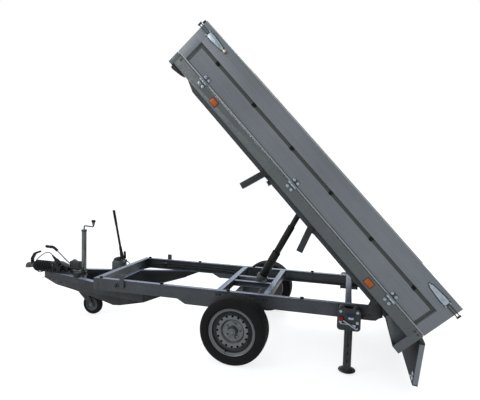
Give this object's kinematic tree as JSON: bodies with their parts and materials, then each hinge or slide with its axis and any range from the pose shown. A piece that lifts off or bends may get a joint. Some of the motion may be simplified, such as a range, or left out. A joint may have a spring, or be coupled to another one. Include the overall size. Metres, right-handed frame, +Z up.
{
  "type": "tipping trailer",
  "caption": "Tipping trailer with a dropside bed raised on a telescopic ram, a V drawbar, a jockey wheel and prop stands.",
  "frame": {"origin": "centre of the towing ball in the coupling's cup", "axes": "+X to the rear of the trailer, +Y to its right side, +Z up"},
  "size_m": [4.0894, 1.554, 2.562],
  "materials": {
    "galvanised": "galvanised, matt with a faint spangle",
    "board": "satin sheet",
    "black_steel": "satin black",
    "ram_grey": "semi-gloss grey",
    "bright_zinc": "bright zinc plate",
    "rim": "silver lacquer",
    "cast": "painted casting",
    "tyre": "matt",
    "black_rubber": "matt",
    "black_plastic": "matt",
    "orange_lens": "ribbed lens",
    "red_lens": "ribbed lens"
  },
  "bodies": {
    "chassis": {"axle_arms": "galvanised", "axle_doublers": "galvanised", "axle_tube": "galvanised", "bed_buffers": "black_rubber", "bed_guides": "galvanised", "cable": "black_rubber", "cable_plug": "black_plastic", "chassis_rails": "galvanised", "coupling_gaiter": "black_rubber", "coupling_handle": "black_steel", "coupling_head": "cast", "cross_members": "galvanised", "drawbar_arms": "galvanised", "front_cross_member": "galvanised", "hand_pump": "black_steel", "handbrake": "bright_zinc", "jockey_clamp": "galvanised", "jockey_tube": "bright_zinc", "overrun_housing": "galvanised", "prop_brackets": "galvanised", "pump_lever": "black_steel", "ram_cradle": "galvanised", "tipping_ears": "galvanised"},
    "wheel_left": {"brake_drum_left": "cast", "wheel_rim_left": "rim", "tyre_left": "tyre"},
    "wheel_right": {"brake_drum_right": "cast", "wheel_rim_right": "rim", "tyre_right": "tyre"},
    "jockey_leg": {"jockey_leg": "bright_zinc"},
    "jockey_fork": {"jockey_fork": "bright_zinc"},
    "jockey_wheel": {"jockey_wheel": "black_rubber"},
    "prop_leg_left": {"prop_leg_left": "bright_zinc"},
    "prop_leg_right": {"prop_leg_right": "bright_zinc"},
    "ram_barrel": {"ram_barrel": "ram_grey"},
    "ram_stage_one": {"ram_stage_one": "black_steel"},
    "ram_stage_two": {"ram_stage_two": "black_steel"},
    "ram_rod": {"ram_rod": "black_steel"},
    "bed": {"bed_side_rails": "galvanised", "bed_front_bar": "galvanised", "bed_rear_bar": "galvanised", "bed_under_beams": "galvanised", "bed_cross_beams": "galvanised", "bed_floor": "board", "ram_eye_cheeks": "galvanised", "wheel_guard_arms": "galvanised", "head_board": "board", "rear_lamps": "red_lens", "side_reflectors": "orange_lens"},
    "side_board_left": {"side_board_left": "board", "side_fittings_left": "bright_zinc"},
    "side_board_right": {"side_board_right": "board", "side_fittings_right": "bright_zinc"},
    "tail_board": {"tail_board": "board"}
  },
  "joints": [
    {"name": "bed_tilt", "type": "hinge", "parent": "chassis", "child": "bed", "pos_m": [3.537, 0, 0.137], "axis": [0, 1, 0], "range_deg": [-47.26, 0]},
    {"name": "side_board_left_drop", "type": "hinge", "parent": "bed", "child": "side_board_left", "pos_m": [3.62513, -0.769, 0.21844], "axis": [0.6787, 0, -0.7344], "range_deg": [0, 180]},
    {"name": "side_board_right_drop", "type": "hinge", "parent": "bed", "child": "side_board_right", "pos_m": [3.62513, 0.769, 0.21844], "axis": [-0.6787, 0, 0.7344], "range_deg": [0, 180]},
    {"name": "tail_board_swing", "type": "hinge", "parent": "bed", "child": "tail_board", "pos_m": [3.81173, 0, -0.02033], "axis": [0, 1, 0], "range_deg": [-139, 41]},
    {"name": "ram_foot", "type": "hinge", "parent": "chassis", "child": "ram_barrel", "pos_m": [2.432, 0, -0.153], "axis": [0, 1, 0], "range_deg": [0, 7]},
    {"name": "ram_slide_one", "type": "slide", "parent": "ram_barrel", "child": "ram_stage_one", "axis": [0.4662, 0, 0.8847], "range_m": [-0.246, 0]},
    {"name": "ram_slide_two", "type": "slide", "parent": "ram_stage_one", "child": "ram_stage_two", "axis": [0.4662, 0, 0.8847], "range_m": [-0.259, 0]},
    {"name": "ram_slide_three", "type": "slide", "parent": "ram_stage_two", "child": "ram_rod", "axis": [0.4662, 0, 0.8847], "range_m": [-0.2131, 0]},
    {"name": "wheel_left_roll", "type": "hinge", "parent": "chassis", "child": "wheel_left", "pos_m": [2.5, -0.662, -0.143], "axis": [0, 1, 0], "continuous": true},
    {"name": "wheel_right_roll", "type": "hinge", "parent": "chassis", "child": "wheel_right", "pos_m": [2.5, 0.662, -0.143], "axis": [0, 1, 0], "continuous": true},
    {"name": "jockey_lift", "type": "slide", "parent": "chassis", "child": "jockey_leg", "axis": [0, 0, -1], "range_m": [-0.09, 0]},
    {"name": "jockey_swivel", "type": "hinge", "parent": "jockey_leg", "child": "jockey_fork", "pos_m": [0.738, -0.08, -0.2], "axis": [0, 0, 1], "continuous": true},
    {"name": "jockey_roll", "type": "hinge", "parent": "jockey_fork", "child": "jockey_wheel", "pos_m": [0.846, -0.08, -0.302], "axis": [0, 1, 0], "continuous": true},
    {"name": "prop_left_lift", "type": "slide", "parent": "chassis", "child": "prop_leg_left", "axis": [0, 0, -1], "range_m": [-0.18, 0]},
    {"name": "prop_right_lift", "type": "slide", "parent": "chassis", "child": "prop_leg_right", "axis": [0, 0, -1], "range_m": [-0.18, 0]}
  ],
  "couplings": [
    {"joint": "ram_foot", "follows": "bed_tilt", "ratio": -0.14698},
    {"joint": "ram_slide_one", "follows": "bed_tilt", "m_per_rad": 0.29703},
    {"joint": "ram_slide_two", "follows": "bed_tilt", "m_per_rad": 0.31279},
    {"joint": "ram_slide_three", "follows": "bed_tilt", "m_per_rad": 0.25713}
  ]
}
